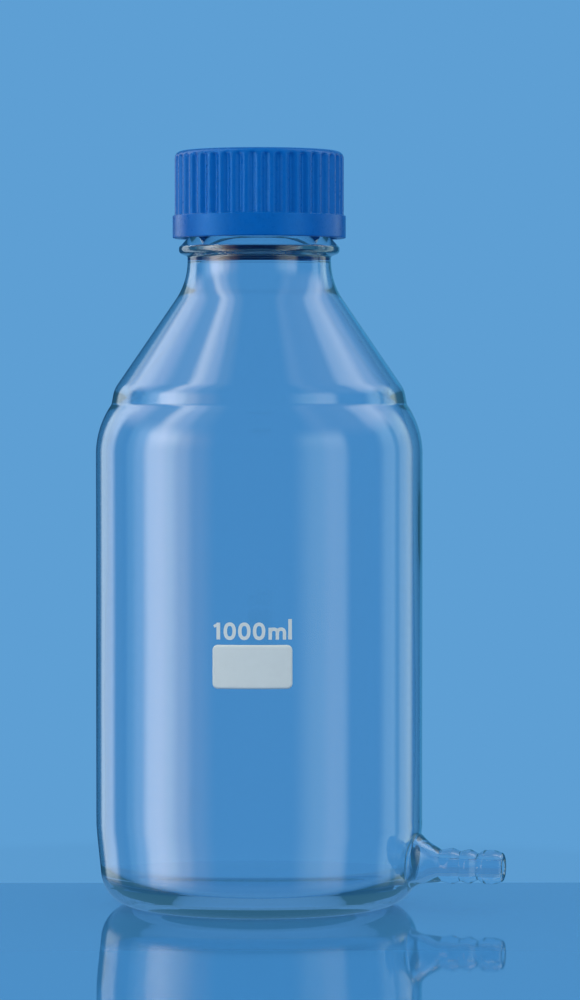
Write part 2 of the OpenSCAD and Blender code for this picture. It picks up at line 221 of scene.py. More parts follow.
KINK_Z = SHOULDER_Z + SHOULDER_RISE
KINK_R = BODY_R - SHOULDER_R * (1 - math.sqrt(1 - (SHOULDER_RISE / SHOULDER_R) ** 2))
CONE_R, CONE_Z = KINK_R - RING_LEAN, KINK_Z + RING_RISE
CONE_TOP_Z = CONE_Z + (CONE_R - NECK_R) / CONE_TAN
BEAD_Z = CONE_TOP_Z + NECK_H
BEAD_TOP_Z = BEAD_Z + BEAD_T
SLOPE_Z = BEAD_TOP_Z + BEAD_R - ROOT_R
THREAD_Z = SLOPE_Z + THREAD_GAP
THREAD_TOP_Z = THREAD_Z + THREAD_H
LIP_Z = THREAD_TOP_Z + LIP_GROOVE_H
MOUTH_Z = LIP_Z + LIP_H
RING_FLANGE_T, RING_FLANGE_R = 1.2, 21.9
RING_TOP_Z = MOUTH_Z + RING_FLANGE_T
SEAL_R, SEAL_T, SEAL_GAP, SEAL_SIDE_GAP = 21.0, 1.7, 0.15, 0.3
SEAL_Z = RING_TOP_Z + SEAL_GAP
CEILING_Z = SEAL_Z + SEAL_T + SEAL_GAP
CAP_TOP_T, CAP_BEAD_GAP = 1.9, 2.7
CAP_TOP_Z = CEILING_Z + CAP_TOP_T
CAP_Z = BEAD_TOP_Z + CAP_BEAD_GAP

OUTLET_Z, HOLE_RISE, BORE_R, LAND_R, HUMP_PITCH = 13.4, 1.2, 2.2, 5.2, 5.4
ROOT_L, LAST_RISE_L, HOSE_LAND_L, NOSE_L = 6.9, 2.7, 2.0, 3.2
ROOT_END_X = BODY_R + ROOT_L
CREST_X = ROOT_END_X + HUMP_PITCH * 0.7
HOLLOW_X = CREST_X + HUMP_PITCH * 1.5
LAND_X = HOLLOW_X + LAST_RISE_L
NOSE_X = LAND_X + HOSE_LAND_L
TIP_X = NOSE_X + NOSE_L


def dome(r, z, height, steps):
    """A shallow cap of a sphere, from its top on the axis to its rim."""
    sphere = (r * r + height * height) / (2 * height)
    return [(r * i / steps, z + height - sphere + math.sqrt(sphere ** 2 - (r * i / steps) ** 2))
            for i in range(steps + 1)]


def shoulder(r, z, arc, rise, step=2.0):
    """An arc that leaves the wall upright and leans in over its rise."""
    last = math.degrees(math.asin(rise / arc))
    steps = math.ceil(last / step)
    turns = [math.radians(last * i / steps) for i in range(steps + 1)]
    return [(r - arc * (1 - math.cos(t)), z + arc * math.sin(t)) for t in turns]


outside = without_doubles(
    dome(FOOT_R, 0, PUNT_H, 14)[:-1]
    + rounded([
        dome(FOOT_R, 0, PUNT_H, 14)[-2], (FOOT_R, 0, 4.0), (BODY_R - HEEL_INSET, 0, HEEL_R),
        (BODY_R, HEEL_H, HEEL_BLEND_R), (BODY_R, SHOULDER_Z)], 3.0)[1:]
    + shoulder(BODY_R, SHOULDER_Z, SHOULDER_R, SHOULDER_RISE)[:-2]
    + rounded([
        shoulder(BODY_R, SHOULDER_Z, SHOULDER_R, SHOULDER_RISE)[-3],
        (KINK_R, KINK_Z, KINK_ROUND), (CONE_R, CONE_Z, RING_EDGE_ROUND),
        (NECK_R, CONE_TOP_Z, NECK_BLEND_R), (NECK_R, BEAD_Z, 0.8),
        (BEAD_R, BEAD_Z + BEAD_UNDER_RISE, BEAD_UNDER_R),
        (BEAD_R, BEAD_TOP_Z, BEAD_EDGE_R), (ROOT_R, SLOPE_Z, 0.8),
        (ROOT_R, THREAD_TOP_Z), (LIP_R - LIP_GROOVE_D, THREAD_TOP_Z + 0.4, 0.3),
        (LIP_R - LIP_GROOVE_D, LIP_Z - 0.4, 0.3), (LIP_R, LIP_Z + 0.1, 0.3),
        (LIP_R, MOUTH_Z, LIP_EDGE_R), (MOUTH_R + 1.5, MOUTH_Z)], 3.0)[1:])

INNER_ARC = SHOULDER_R - WALL_T
INNER_RISE = SHOULDER_RISE - 2
INNER_KINK_R = INNER_R - INNER_ARC * (1 - math.sqrt(1 - (INNER_RISE / INNER_ARC) ** 2))
INNER_KINK_Z = SHOULDER_Z + INNER_RISE
INNER_NECK_R = NECK_R - NECK_T
INNER_CONE_R = INNER_KINK_R - RING_LEAN
INNER_CONE_Z = CONE_Z + (CONE_R - CONE_T - INNER_CONE_R) / CONE_TAN
INNER_NECK_Z = INNER_CONE_Z + (INNER_CONE_R - INNER_NECK_R) / CONE_TAN
LEDGE_DROP, LEDGE_H, LEDGE_ROUND = 1.8, 6, 2.5
LEDGE_Z = BEAD_Z - LEDGE_DROP
FLAT_R = INNER_R - FLOOR_R - 4


def relaxed(points, low, high, spacing, passes):
    """The outline with its corners between two heights eased, as softened glass takes them."""
    points = fill_in(points, spacing)
    free = [i for i, (r, z) in enumerate(points) if low < z < high]
    for _ in range(passes):
        points = [tuple((before + here * 2 + after) / 4
                        for before, here, after in zip(points[i - 1], p, points[i + 1]))
                  if free[0] <= i <= free[-1] else p for i, p in enumerate(points)]
    return points


inside = without_doubles(
    dome(FLAT_R, BASE_T, FLOOR_DOME, 12)[:-1]
    + rounded([
        (FLAT_R, BASE_T), (INNER_R, BASE_T, FLOOR_R), (INNER_R, SHOULDER_Z)], 4.0)
    + shoulder(INNER_R, SHOULDER_Z, INNER_ARC, INNER_RISE)[:-3]
    + rounded([
        shoulder(INNER_R, SHOULDER_Z, INNER_ARC, INNER_RISE)[-4], (INNER_KINK_R, INNER_KINK_Z, INNER_ROUND),
        (INNER_CONE_R, INNER_CONE_Z, INNER_ROUND),
        (INNER_NECK_R, INNER_NECK_Z, NECK_BLEND_R * 2 / 3), (INNER_NECK_R, LEDGE_Z, LEDGE_ROUND),
        (MOUTH_R, LEDGE_Z + LEDGE_H, LEDGE_ROUND), (MOUTH_R, MOUTH_Z, LIP_EDGE_R),
        (MOUTH_R + 1.5, MOUTH_Z)], 4.0)[1:])
inside = relaxed(inside, 143, 170, 0.7, 40)

# ---- glass ---------------------------------------------------------------------------------

SEGMENTS = 320
PATCH = 14                      # columns each side of the outlet in the patch that it grows from
COLUMN = TAU / SEGMENTS
PATCH_LOW, PATCH_LOW_IN, PATCH_HIGH = 3.2, 8.2, 30.4    # its foot outside and inside, and its top
FLARE_REACH, FLARE_RISE, FUNNEL_REACH = 10.6, 1.0, 9.3  # where flare and funnel leave the wall
GLASS_WAVE_OUT, GLASS_WAVE_IN = 0.06, 0.2


def rows_of(outline, low, high, longest):
    """The outline's points, with even rows where its height lies between low and high on the outside of
    the heel. Returns the points and the first and last even row."""
    total = lengths(outline)
    wall = [i for i, (r, z) in enumerate(outline) if r > INNER_R - 12]
    def length_at(height):
        for i in wall:
            if outline[i][1] <= height < outline[i + 1][1]:
                t = (height - outline[i][1]) / (outline[i + 1][1] - outline[i][1])
                return total[i] + (total[i + 1] - total[i]) * t
        raise ValueError(height)
    s0, s1 = length_at(low), length_at(high)
    before = [p for p, s in zip(outline, total) if s < s0 - 0.3]
    after = [p for p, s in zip(outline, total) if s > s1 + 0.3]
    even = [along(outline, total, s0 + (s1 - s0) * k / (2 * PATCH)) for k in range(2 * PATCH + 1)]
    head = fill_in(before + [even[0]], longest)[:-1]
    tail = fill_in([even[-1]] + after, longest)[1:]
    return head + even + tail, len(head), len(head) + 2 * PATCH


def wavy(r, z, a, amount):
    """A slow unevenness of the blown glass."""
    p = Vector((r * math.cos(a) * 0.028, r * math.sin(a) * 0.028, z * 0.016))
    return amount * noise.noise(p)


def thread_ridge(z, a, start_z, turns, half_w, top_half_w):
    """0 to 1: how high a right-handed ridge of this pitch stands at height z and angle a."""
    t = (z - start_z) / PITCH - a / TAU
    whole = round(t)
    best = 0.0
    for w in (whole - 1, whole, whole + 1):
        turn = w + a / TAU
        off = abs(z - start_z - turn * PITCH)
        if off >= half_w or turn < 0 or turn > turns:
            continue
        ends = smooth(min(turn, turns - turn) / 0.09)
        best = max(best, ends * smooth((half_w - off) / (half_w - top_half_w)))
    return best


NECK_THREAD_Z = THREAD_Z + 1.9


def outside_radius(r, z, a):
    if SLOPE_Z < z < THREAD_TOP_Z + 0.3 and r > 20:
        return r + (THREAD_R - ROOT_R) * thread_ridge(z, a, NECK_THREAD_Z, 2.7, 1.15, 0.3)
    if 26 < z < BEAD_Z:
        return r - GLASS_WAVE_OUT + wavy(r, z, a, GLASS_WAVE_OUT)
    return r


def inside_radius(r, z, a):
    if r < 10:
        return r
    return r + wavy(r + 30, z * 1.6, a + 2.0, GLASS_WAVE_IN) * smooth((z - 24) / 20)


def spline(points, t):
    """A cubic B-spline through its first and last point, for t from 0 to 1."""
    first = tuple(2 * a - b for a, b in zip(points[0], points[1]))
    last = tuple(2 * a - b for a, b in zip(points[-1], points[-2]))
    ctrl = [first, *points, last]
    u = t * (len(points) - 1)
    i = min(int(u), len(points) - 2)
    f = u - i
    w = ((1 - f) ** 3 / 6, (3 * f ** 3 - 6 * f * f + 4) / 6,
         (-3 * f ** 3 + 3 * f * f + 3 * f + 1) / 6, f ** 3 / 6)
    return tuple(sum(w[k] * ctrl[i + k][c] for k in range(4)) for c in range(3))


def section(x, rise, radius):
    """A round section of the outlet, as a function of the angle round it."""
    return lambda a: (x, radius * math.cos(a), OUTLET_Z + rise + radius * math.sin(a))


# Sections that the flare and the funnel run through, from the wall to where the tube runs straight.
FLARE = [
    section(50.9, 2.1, 7.8), section(51.9, 1.6, 7.2), section(53.3, 1.0, 6.45), section(55.0, 0.55, 5.85),
    section(56.6, 0.2, 5.35), section(ROOT_END_X + 0.2, 0, LAND_R - 0.3)]
FUNNEL = [
    section(47.2, HOLE_RISE, 7.95), section(46.7, HOLE_RISE, 7.35), section(47.0, HOLE_RISE, 6.6),
    section(48.2, HOLE_RISE, 6.1), section(50.0, HOLE_RISE * 0.9, 5.4), section(52.0, HOLE_RISE * 0.65, 4.5),
    section(54.0, HOLE_RISE * 0.3, 3.3), section(55.8, 0.1, 2.5), section(57.5, 0, BORE_R),
    section(60, 0, BORE_R), section(NOSE_X, 0, BORE_R)]
CRESTS = [LAND_R + 0.3, LAND_R + 0.15]
tube_outline = rounded([
    (ROOT_END_X, LAND_R - 0.3), (ROOT_END_X + 0.6, LAND_R - 0.3, 2.0), (CREST_X, CRESTS[0] + 0.11, 2.4),
    (CREST_X + HUMP_PITCH / 2, CRESTS[1] - 0.8, 0.9), (CREST_X + HUMP_PITCH, CRESTS[1] + 0.11, 2.4),
    (HOLLOW_X, LAND_R - 1.2, 0.5), (LAND_X - 0.9, LAND_R, 1.6), (NOSE_X + 0.6, LAND_R, 5.0),
    (TIP_X, LAND_R - 0.9, 1.0), (TIP_X, BORE_R, 0.6), (TIP_X - 3, BORE_R)], 6.0)
tube_outline = fill_in(without_doubles(tube_outline), 0.8)[1:]


def patch_border():
    """Corners of the patch, counter-clockwise seen from outside, as shares of its width and its rows."""
    side = [k / PATCH - 1 for k in range(2 * PATCH)]
    return ([(s, -1.0) for s in side] + [(1.0, s) for s in side]
            + [(-s, 1.0) for s in side] + [(-1.0, -s) for s in side])


def build_glass(material):
    grid = Grid(SEGMENTS)
    rows_out, out0, out1 = rows_of(outside, PATCH_LOW, PATCH_HIGH, 2.6)
    thread_rows = [k for k, (r, z) in enumerate(rows_out)
                   if SLOPE_Z - 0.6 < z < THREAD_TOP_Z + 0.1 and r > 20]
    k0, k1 = thread_rows[0], thread_rows[-1]
    low_z, high_z = rows_out[k0][1], rows_out[k1][1]
    steps = math.ceil((high_z - low_z) / 0.26)
    threaded = []
    for k in range(steps + 1):
        z = low_z + (high_z - low_z) * k / steps
        r = next((p[0] + (q[0] - p[0]) * (z - p[1]) / max(q[1] - p[1], 1e-9)
                  for p, q in zip(rows_out[k0:k1], rows_out[k0 + 1:k1 + 1]) if p[1] <= z <= q[1]), ROOT_R)
        threaded.append((r, z))
    rows_out = rows_out[:k0] + threaded + rows_out[k1 + 1:]
    rows_in, in0, in1 = rows_of(inside, PATCH_LOW_IN, PATCH_HIGH, 3.0)

    def add_rows(rows, radius):
        start = len(grid.rings)
        for r, z in rows:
            def place(a, r=r, z=z):
                q = radius(r, z, a)
                return q * math.cos(a), q * math.sin(a), z
            grid.ring(place, r < ON_AXIS)
        return start

    add_rows(rows_out, outside_radius)
    first_in = add_rows(rows_in, inside_radius)

    def in_patch(low, high):
        return lambda i, j: low <= i < high and (j < PATCH or j >= SEGMENTS - PATCH)

    grid.join(0, len(rows_out) - 1, in_patch(out0, out1))
    grid.join(first_in, len(grid.rings) - 1, in_patch(first_in + in0, first_in + in1))
    # the mouth: the last outside ring is the last inside ring
    last_out, last_in = grid.rings[len(rows_out) - 1], grid.rings[-1]
    swap = dict(zip(last_in, last_out))
    grid.faces = [[swap.get(c, c) for c in f] for f in grid.faces]

    def corner_index(ring_low, s, t):
        column = round((s + 1) / 2 * 2 * PATCH) - PATCH
        row = ring_low + round((t + 1) / 2 * 2 * PATCH)
        return grid.rings[row][column % SEGMENTS]

    border = patch_border()
    count = len(border)

    def surface(rows, low, high, radius):
        """The wall's point at (share of the patch's width, share of its height)."""
        total = lengths(rows[low:high + 1])
        def at(s, t):
            r, z = along(rows[low:high + 1], total, (t + 1) / 2 * total[-1])
            a = s * PATCH * COLUMN
            q = radius(r, z, a)
            return q * math.cos(a), q * math.sin(a), z
        def share_of_height(height):
            for k, (p, q) in enumerate(zip(rows[low:high], rows[low + 1:high + 1])):
                if p[1] <= height <= q[1]:
                    f = (height - p[1]) / (q[1] - p[1])
                    return (total[k] + (total[k + 1] - total[k]) * f) / total[-1] * 2 - 1
            return -1 if height < rows[low][1] else 1
        return at, share_of_height

    out_at, out_share = surface(rows_out, out0, out1, outside_radius)
    in_at, in_share = surface(rows_in, in0, in1, inside_radius)

    def on_patch(share, angle, reach, rise):
        """Shares of the patch for a place at this distance and direction from the outlet's hole."""
        return (reach * math.cos(angle) / (PATCH * COLUMN * BODY_R),
                share(OUTLET_Z + rise + reach * math.sin(angle)))

    # direction of each spoke, from the border's own corners
    angles = [math.atan2(t, s) for s, t in border]

    def grow(ring_low, at, share, reach, rise, sections, steps, back):
        """Faces from the border to the first ring of the outlet, and on along it. Returns the last ring."""
        previous = [corner_index(ring_low, s, t) for s, t in border]
        feet = [on_patch(share, a, reach, rise) for a in angles]
        for k in range(1, 7):
            f = k / 6
            ring = []
            for (s, t), (fs, ft) in zip(border, feet):
                ring.append(len(grid.points))
                grid.points.append(at(s + (fs - s) * f, t + (ft - t) * f))
            for i in range(count):
                grid.face(previous[i], previous[(i + 1) % count], ring[(i + 1) % count], ring[i])
            previous = ring
        splines = [[at(*on_patch(share, a, reach - d, rise)) for d in back]
                   + [place(a) for place in sections] for a in angles]
        for k in range(1, steps + 1):
            ring = []
            for i in range(count):
                ring.append(len(grid.points))
                grid.points.append(spline(splines[i], k / steps))
            for i in range(count):
                grid.face(previous[i], previous[(i + 1) % count], ring[(i + 1) % count], ring[i])
            previous = ring
        return previous

    outer = grow(out0, out_at, out_share, FLARE_REACH, FLARE_RISE, FLARE, 28, (0.0, 1.1, 2.1))
    inner = grow(
        first_in + in0, in_at, in_share, FUNNEL_REACH, HOLE_RISE, FUNNEL, 44, (0.0, 0.5, 0.9))

    def tube(previous, profile):
        for x, r in profile:
            ring = []
            for angle in angles:
                ring.append(len(grid.points))
                grid.points.append((x, r * math.cos(angle), OUTLET_Z + r * math.sin(angle)))
            for i in range(count):
                grid.face(previous[i], previous[(i + 1) % count], ring[(i + 1) % count], ring[i])
            previous = ring
        return previous

    outer = tube(outer, tube_outline)
    for i in range(count):
        grid.face(outer[i], outer[(i + 1) % count], inner[(i + 1) % count], inner[i])
    used = sorted({c for f in grid.faces for c in f})
    index = {old: new for new, old in enumerate(used)}
    points = [grid.points[c] for c in used]
    faces = [[index[c] for c in f] for f in grid.faces]
    new_object("glass_body", points, faces, "bottle", "clear_glass", material, "bottle", "outlet_nozzle")


# ---- materials -----------------------------------------------------------------------------


def new_material(name):
    material = bpy.data.materials.new(name)
    material.use_nodes = True
    nodes, links = material.node_tree.nodes, material.node_tree.links
    return material, nodes, links, nodes["Principled BSDF"]


def maths(nodes, links, kind, *inputs):
    node = nodes.new("ShaderNodeMath")
    node.operation = kind
    for socket, value in zip(node.inputs, inputs):
        if isinstance(value, bpy.types.NodeSocket):
            links.new(value, socket)
        else:
            socket.default_value = value
    return node.outputs[0]


def window(nodes, links, value, low, high):
    """0 below low, 1 above high, with a smooth rise between."""
    node = nodes.new("ShaderNodeMapRange")
    node.interpolation_type = "SMOOTHSTEP"
    links.new(value, node.inputs["Value"])
    node.inputs["From Min"].default_value = low
    node.inputs["From Max"].default_value = high
    return node.outputs[0]


def seen_straight(nodes, links):
    """1 for camera, glossy and transmission rays."""
    path = nodes.new("ShaderNodeLightPath")
    either = maths(nodes, links, "MAXIMUM", path.outputs["Is Camera Ray"], path.outputs["Is Glossy Ray"])
    return maths(nodes, links, "MAXIMUM", either, path.outputs["Is Transmission Ray"])


def emission(nodes, colour, strength=1.0):
    node = nodes.new("ShaderNodeEmission")
    node.inputs["Color"].default_value = (*colour, 1)
    node.inputs["Strength"].default_value = strength
    return node


def mixed(nodes, links, factor, first, second):
    node = nodes.new("ShaderNodeMixShader")
    links.new(factor, node.inputs[0])
    links.new(first, node.inputs[1])
    links.new(second, node.inputs[2])
    return node.outputs[0]


GLASS_IOR = 1.474
GLASS_VOLUME, GLASS_DENSITY = (0.127, 0.602, 0.858), 15.0
DEEP_BOUNCES, DEEP_MIRRORED = 8.5, 2.5      # rays past either of these end on a painted glow of one even colour, in place of the light they would gather, where they would end in black
GLASS_DEEP_GLOW = (0.04, 0.14, 0.22)             # as they would end in black


def glass_material():
    """Clear borosilicate glass. Its rims darken where the surface is seen at a slant: painted shade, in place
    of the dark surroundings that the rims refract.
    """
    material, nodes, links, shader = new_material("borosilicate_glass")
    shader.inputs["Roughness"].default_value = 0.0
    shader.inputs["IOR"].default_value = GLASS_IOR
    shader.inputs["Transmission Weight"].default_value = 1.0
    # the glass's own pale tone face on, turning to painted shade on the rims as the surface turns away
    slant = nodes.new("ShaderNodeLayerWeight")
    slant.inputs["Blend"].default_value = 0.5
    tone_and_painted_rim_shade = nodes.new("ShaderNodeValToRGB")
    colours = tone_and_painted_rim_shade.color_ramp
    colours.interpolation = "EASE"
    colours.elements[0].position, colours.elements[0].color = 0.50, (0.755, 0.871, 0.9355, 1)
    colours.elements[1].position, colours.elements[1].color = 0.97, (0.02, 0.14, 0.26, 1)
    for at, colour in ((0.66, (0.68, 0.84, 0.92, 1)), (0.82, (0.27, 0.55, 0.71, 1))):
        colours.elements.new(at).color = colour
    links.new(slant.outputs["Facing"], tone_and_painted_rim_shade.inputs[0])
    links.new(tone_and_painted_rim_shade.outputs[0], shader.inputs["Base Color"])
    clear = nodes.new("ShaderNodeBsdfTransparent")
    path = nodes.new("ShaderNodeLightPath")
    mix = nodes.new("ShaderNodeMixShader")
    out = nodes["Material Output"]
    links.new(path.outputs["Is Shadow Ray"], mix.inputs[0])
    links.new(shader.outputs[0], mix.inputs[1])
    links.new(clear.outputs[0], mix.inputs[2])
    bounced = maths(nodes, links, "GREATER_THAN", path.outputs["Ray Depth"], DEEP_BOUNCES)
    mirrored = maths(nodes, links, "GREATER_THAN", path.outputs["Glossy Depth"], DEEP_MIRRORED)
    deep = maths(nodes, links, "MAXIMUM", bounced, mirrored)
    # painted glow: an even emitted colour stands in for the light that rays past the bounce limits would
    # bring
    painted_deep_glow = emission(nodes, GLASS_DEEP_GLOW)
    links.new(mixed(nodes, links, deep, mix.outputs[0], painted_deep_glow.outputs[0]), out.inputs["Surface"])
    volume = nodes.new("ShaderNodeVolumeAbsorption")
    volume.inputs["Color"].default_value = (*GLASS_VOLUME, 1)
    volume.inputs["Density"].default_value = GLASS_DENSITY
    links.new(volume.outputs[0], out.inputs["Volume"])
    return material


def plastic_material(name, colour, rough, specular, mottle, gloss_tint=(1.0, 1.0, 1.0)):
    """Moulded plastic or enamel: a fine unevenness of its surface, colour and gloss."""
    material, nodes, links, shader = new_material(name)
    shader.inputs["Specular IOR Level"].default_value = specular
    shader.inputs["Specular Tint"].default_value = (*gloss_tint, 1)
    place = nodes.new("ShaderNodeTexCoord").outputs["Object"]

    def grain(scale, detail):
        node = nodes.new("ShaderNodeTexNoise")
        node.inputs["Scale"].default_value = scale
        node.inputs["Detail"].default_value = detail
        links.new(place, node.inputs["Vector"])
        return node.outputs[0]

    def spread(value, low, high):
        node = nodes.new("ShaderNodeMapRange")
        links.new(value, node.inputs["Value"])
        node.inputs["From Min"].default_value, node.inputs["From Max"].default_value = 0.3, 0.7
        node.inputs["To Min"].default_value, node.inputs["To Max"].default_value = low, high
        return node.outputs[0]

    tone = nodes.new("ShaderNodeMix")
    tone.data_type = "RGBA"
    tone.inputs[6].default_value = (*(c * (1 - mottle) for c in colour), 1)
    tone.inputs[7].default_value = (*(c * (1 + mottle) for c in colour), 1)
    links.new(spread(grain(420.0, 3.0), 0, 1), tone.inputs[0])
    links.new(tone.outputs[2], shader.inputs["Base Color"])
    links.new(spread(grain(900.0, 2.0), rough - 0.05, rough + 0.07), shader.inputs["Roughness"])
    bump = nodes.new("ShaderNodeBump")
    bump.inputs["Strength"].default_value = 0.08
    bump.inputs["Distance"].default_value = 0.00005
    links.new(grain(1500.0, 2.0), bump.inputs["Height"])
    links.new(bump.outputs[0], shader.inputs["Normal"])
    return material


build_glass(glass_material())

# ---- cap, ring and seal ----------------------------------------------------------------------

blue = plastic_material("blue_plastic", (0.0012, 0.128, 0.462), 0.3, 0.22, 0.04, (0.3, 0.75, 0.9))
white = plastic_material("white_seal", (0.85, 0.85, 0.83), 0.4, 0.5, 0.03)
enamel = plastic_material("white_enamel", (0.73, 0.79, 0.74), 0.6, 0.2, 0.012)

BAND_R, BAND_H, RIB_R, RIBS, GROOVE_D, CAP_BORE_R, TOP_EDGE_R = 26.7, 6.9, 26.05, 40, 1.05, 22.9, 2.2
BAND_TOP_Z = CAP_Z + BAND_H
SEAL_STEP_Z = RING_TOP_Z + 0.3
DIMPLE_D = 0.25     # the mark that the moulding gate leaves in the middle of the top
RIB_PHASE = math.radians(6.0)


def cap_radius(r, z, a):
    """Ribs on the outside, and the thread inside."""
    if r > 25.0 and z > BAND_TOP_Z:
        valley = (1 - math.cos(RIBS * (a - RIB_PHASE))) / 2
        depth = GROOVE_D * smooth((z - BAND_TOP_Z) / 0.35) * smooth((CAP_TOP_Z - 1.0 - z) / 1.4)
        return r - depth * valley ** 1.5
    if abs(r - CAP_BORE_R) < 0.01 and CAP_Z + 2 < z < RING_TOP_Z - 1.5:
        return r - 1.3 * thread_ridge(z, a, NECK_THREAD_Z - 2.0, 3.2, 0.62, 0.2)
    return r


cap_outline = without_doubles(
    [(0, CAP_TOP_Z - DIMPLE_D)]
    + rounded([
        (1.0, CAP_TOP_Z - DIMPLE_D), (1.3, CAP_TOP_Z, 0.2), (RIB_R, CAP_TOP_Z, TOP_EDGE_R),
        (RIB_R, BAND_TOP_Z + 0.5)], 8.0)
    + [(RIB_R, BAND_TOP_Z + 0.5 - 0.1 * k) for k in range(1, 6)]
    + rounded([
        (RIB_R, BAND_TOP_Z), (BAND_R, BAND_TOP_Z, 0.15), (BAND_R, CAP_Z, 0.4), (CAP_BORE_R + 1.2, CAP_Z, 0.3),
        (CAP_BORE_R, CAP_Z + 1.8)], 12.0)[1:]
    + rounded([
        (CAP_BORE_R, CAP_Z + 1.9), (CAP_BORE_R, SEAL_STEP_Z, 0.4), (SEAL_R + SEAL_SIDE_GAP, SEAL_STEP_Z),
        (SEAL_R + SEAL_SIDE_GAP, CEILING_Z), (0, CEILING_Z)], 15.0))
cap_rows = []
for p, q in zip(cap_outline, cap_outline[1:]):
    fine = 0.25 if abs(p[0] - CAP_BORE_R) < 0.01 and abs(q[0] - CAP_BORE_R) < 0.01 else 1.2
    cap_rows += fill_in([p, q], fine)[:-1]
cap_rows.append(cap_outline[-1])
cap_grid = revolve(cap_rows, RIBS * 12, cap_radius)
new_object("ribbed_cap", cap_grid.points, cap_grid.faces, "cap", "blue_plastic", blue, "screw_cap")

SKIRT_R = LIP_R + 0.1
ring_outline = rounded([
    (MOUTH_R - 0.5, MOUTH_Z + 0.02), (SKIRT_R, MOUTH_Z + 0.02), (SKIRT_R, LIP_Z),
    (SKIRT_R - 0.5, LIP_Z - 0.6, 0.1),
    (SKIRT_R - 0.5, LIP_Z - 0.9, 0.1), (SKIRT_R, THREAD_TOP_Z + 0.3), (SKIRT_R + 1, THREAD_TOP_Z + 0.3, 0.3),
    (SKIRT_R + 1, RING_TOP_Z - 0.6, 0.2), (RING_FLANGE_R, RING_TOP_Z - 0.3, 0.1),
    (RING_FLANGE_R, RING_TOP_Z, 0.1),
    (SKIRT_R, RING_TOP_Z, 0.4), (MOUTH_R - 0.5, RING_TOP_Z - 0.4, 0.3)], 20.0)
ring_grid = revolve(without_doubles(ring_outline), 192)
new_object(
    "pouring_ring_lip", ring_grid.points, ring_grid.faces, "bottle", "blue_plastic", blue, "pouring_ring")

seal_outline = rounded([
    (0, SEAL_Z), (SEAL_R, SEAL_Z, 0.3), (SEAL_R, SEAL_Z + SEAL_T, 0.3), (0, SEAL_Z + SEAL_T)], 20.0)
seal_grid = revolve(without_doubles(seal_outline), 160)
new_object("seal_disc", seal_grid.points, seal_grid.faces, "seal", "white_seal", white, "cap_seal")

# ---- writing panel and figures ---------------------------------------------------------------

PANEL_W, PANEL_H, PANEL_CORNER, PANEL_T, PANEL_Z = 24.0, 13.1, 1.6, 0.15, 76.7
PANEL_BEARING = 12.6                # from -Y towards +X
PANEL_ANGLE = math.radians(-90 + PANEL_BEARING)
FIGURES_Z = 84.85                   # foot of the figures over the panel
PRINT_T = 0.07


def on_wall(u, v, lift, z0):
    """A point u mm round the wall and v mm up from the panel's bearing."""
    a = PANEL_ANGLE + u / BODY_R
    r = BODY_R + lift
    return r * math.cos(a), r * math.sin(a), z0 + v


def panel_mesh():
    grid_w, grid_h = 40, 22
    points, faces = [], []
    def inside_corner(u, v):
        """Pulls a point of the rectangle's grid in round its corners."""
        cu, cv = PANEL_W / 2 - PANEL_CORNER, PANEL_H / 2 - PANEL_CORNER
        if abs(u) > cu and abs(v) > cv:
            du, dv = abs(u) - cu, abs(v) - cv
            m = max(du, dv)
            if m > 0:
                k = m / math.hypot(du, dv)
                return math.copysign(cu + du * k, u), math.copysign(cv + dv * k, v)
        return u, v
    us = [-PANEL_W / 2 + PANEL_W * i / grid_w for i in range(grid_w + 1)]
    vs = [-PANEL_H / 2 + PANEL_H * i / grid_h for i in range(grid_h + 1)]
    for layer in (0, 1):
        for v in vs:
            for u in us:
                edge = min(PANEL_W / 2 - abs(u), PANEL_H / 2 - abs(v))
                cu, cv = inside_corner(u, v)
                lift = 0.0 if layer == 0 else 0.05 + (PANEL_T - 0.06) * smooth(edge / 0.5)
                points.append(on_wall(cu, cv, lift, PANEL_Z))
    n, m = grid_w + 1, grid_h + 1
    for layer in (0, 1):
        base = layer * n * m
        for j in range(grid_h):
            for i in range(grid_w):
                low, high = base + j * n + i, base + (j + 1) * n + i
                faces.append([low, low + 1, high + 1, high])
    rim = ([i for i in range(grid_w)] + [j * n + grid_w for j in range(grid_h)]
           + [grid_h * n + i for i in range(grid_w, 0, -1)] + [j * n for j in range(grid_h, 0, -1)])
    for a, b in zip(rim, rim[1:] + rim[:1]):
        faces.append([a, b, b + n * m, a + n * m])
    return points, faces


points, faces = panel_mesh()
new_object("enamel_panel", points, faces, "bottle", "white_enamel", enamel, "writing_panel")


def ring_stroke(u, v, half_u, half_v, steps=28):
    """The middle line of a 0."""
    def bulge(c):
        return math.copysign(abs(c) ** 0.86, c)
    return [(u + half_u * bulge(math.cos(TAU * k / steps)), v + half_v * bulge(math.sin(TAU * k / steps)))
            for k in range(steps)]


def arch_stroke(u0, u1, low, spring, top, steps=10):
    """From the stem at u0 over an arch and down to the foot at u1."""
    mid, half = (u0 + u1) / 2, (u1 - u0) / 2
    arch = [(mid - half * math.cos(t), spring + (top - spring) * math.sin(t) ** 0.8)
            for t in (math.pi * k / steps for k in range(steps + 1))]
    return arch + [(u1, low)]


def stroke_mesh(points, faces, line, half, closed, base_z):
    """Adds a printed stroke along its middle line, bent round the wall, to the points and faces."""
    n = len(line)
    start = len(points)
    for k, (u, v) in enumerate(line):
        before = line[k - 1] if closed or k > 0 else line[k]
        after = line[(k + 1) % n] if closed or k < n - 1 else line[k]
        du, dv = unit(after[0] - before[0], after[1] - before[1])
        for side, lift in ((half, PRINT_T), (-half, PRINT_T), (-half, 0.0), (half, 0.0)):
            points.append(on_wall(u - dv * side, v + du * side, lift, base_z))
    for k in range(n if closed else n - 1):
        a, b = start + 4 * k, start + 4 * ((k + 1) % n)
        for c in range(4):
            d = (c + 1) % 4
            faces.append([a + c, a + d, b + d, b + c])
    if not closed:
        last = start + 4 * (n - 1)
        faces.append([start + 3, start + 2, start + 1, start])
        faces.append([last, last + 1, last + 2, last + 3])


